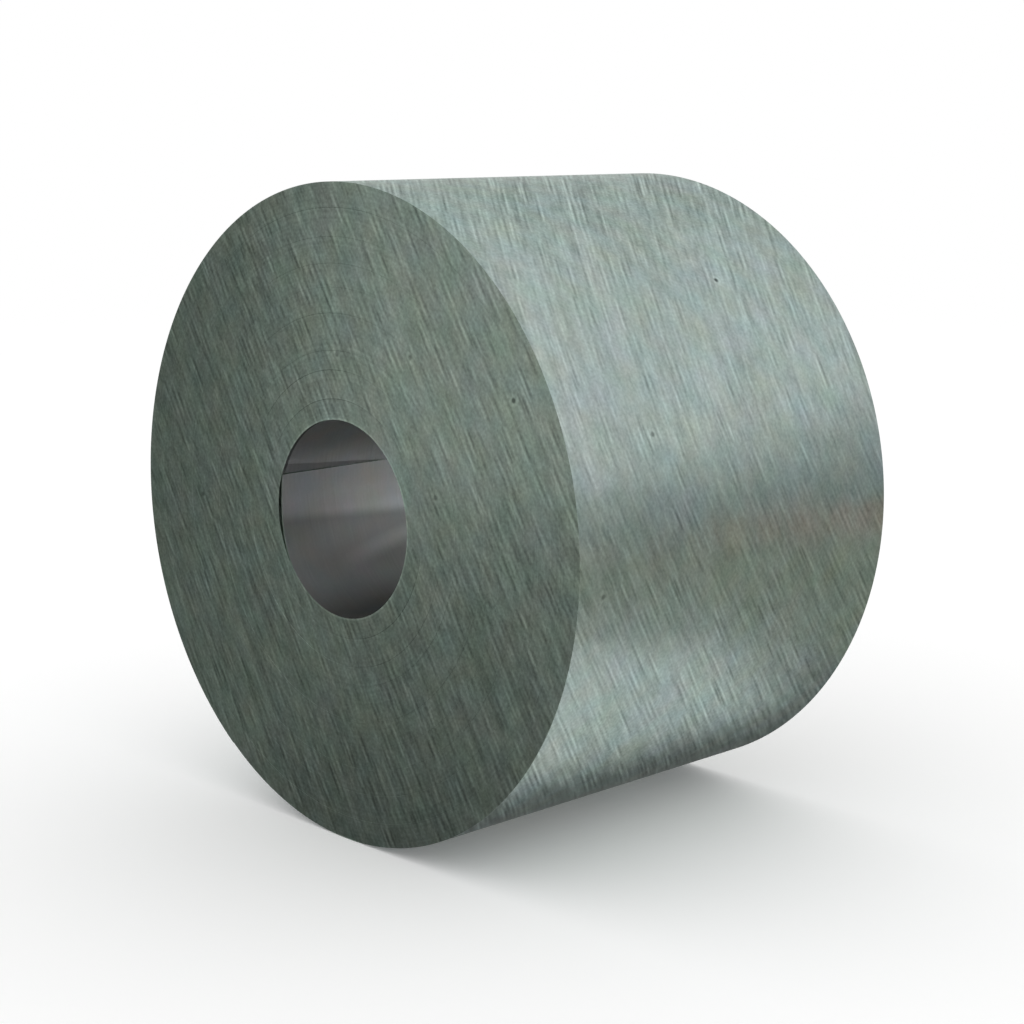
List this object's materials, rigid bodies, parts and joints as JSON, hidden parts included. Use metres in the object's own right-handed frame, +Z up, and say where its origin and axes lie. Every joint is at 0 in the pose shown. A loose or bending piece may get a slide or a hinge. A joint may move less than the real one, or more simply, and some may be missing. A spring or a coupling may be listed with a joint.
{
  "type": "zinc sheet roll",
  "caption": "Wound coil of zinc sheet lying on its round side, with an open bore for a mandrel or lifting hook and flat ends that show the turns.",
  "frame": {"origin": "on the floor under the middle of the coil, where its round side rests", "axes": "+Z up; +Y along the winding axis, from the front end to the back end; +X to the right of the front end"},
  "size_m": [0.9993, 0.67, 0.9986],
  "materials": {
    "zinc": "satin rolled zinc with a fine brushed grain"
  },
  "bodies": {
    "root": {"zinc_coil": "zinc"}
  },
  "joints": []
}
